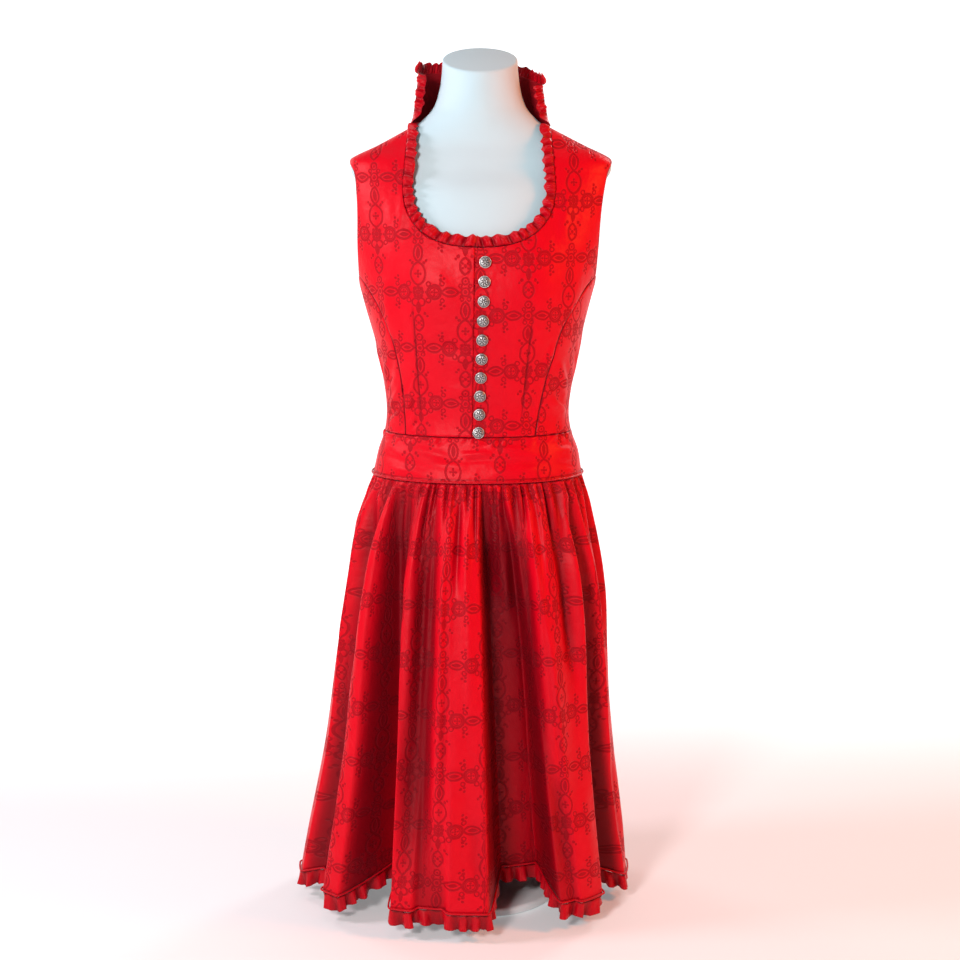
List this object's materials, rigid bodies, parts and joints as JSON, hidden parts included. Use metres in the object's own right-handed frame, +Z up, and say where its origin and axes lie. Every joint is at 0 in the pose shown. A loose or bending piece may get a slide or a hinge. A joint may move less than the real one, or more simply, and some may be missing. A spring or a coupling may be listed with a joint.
{
  "type": "dirndl on a dress form",
  "caption": "Sleeveless folk dress with a stand-up back collar, ruched neckline, button front, wide waistband and gathered ruffled skirt, on a plain limbless dress form.",
  "frame": {"origin": "centre of the underside of the dress form's round base", "axes": "+Z up, -Y the front of the dress, +X the wearer's left"},
  "size_m": [0.4796, 0.3845, 1.1983],
  "materials": {
    "jacquard": "red satin jacquard with a damask figure, soft sheen",
    "satin_trim": "red satin, ruched, piped or rolled",
    "pewter": "antiqued pewter, dull in the hollows",
    "form_shell": "smooth matt off-white shell",
    "pole_steel": "brushed",
    "base_enamel": "matt white enamel"
  },
  "bodies": {
    "root": {"front_right": "jacquard", "front_left": "jacquard", "side_front_right": "jacquard", "side_front_left": "jacquard", "back": "jacquard", "collar": "jacquard", "neck_frill_right": "satin_trim", "neck_frill_left": "satin_trim", "collar_frill": "satin_trim", "waistband_front": "jacquard", "waistband_back": "jacquard", "waistband_piping": "satin_trim", "skirt_front": "jacquard", "skirt_back": "jacquard", "hem_piping_front": "satin_trim", "hem_piping_back": "satin_trim", "hem_ruffle_front": "satin_trim", "hem_ruffle_back": "satin_trim", "button_01": "pewter", "button_02": "pewter", "button_03": "pewter", "button_04": "pewter", "button_05": "pewter", "button_06": "pewter", "button_07": "pewter", "button_08": "pewter", "button_09": "pewter", "button_10": "pewter", "loop_01": "satin_trim", "loop_02": "satin_trim", "loop_03": "satin_trim", "loop_04": "satin_trim", "loop_05": "satin_trim", "loop_06": "satin_trim", "loop_07": "satin_trim", "loop_08": "satin_trim", "loop_09": "satin_trim", "loop_10": "satin_trim", "form_torso": "form_shell", "form_pole": "pole_steel", "form_base": "base_enamel"}
  },
  "joints": []
}
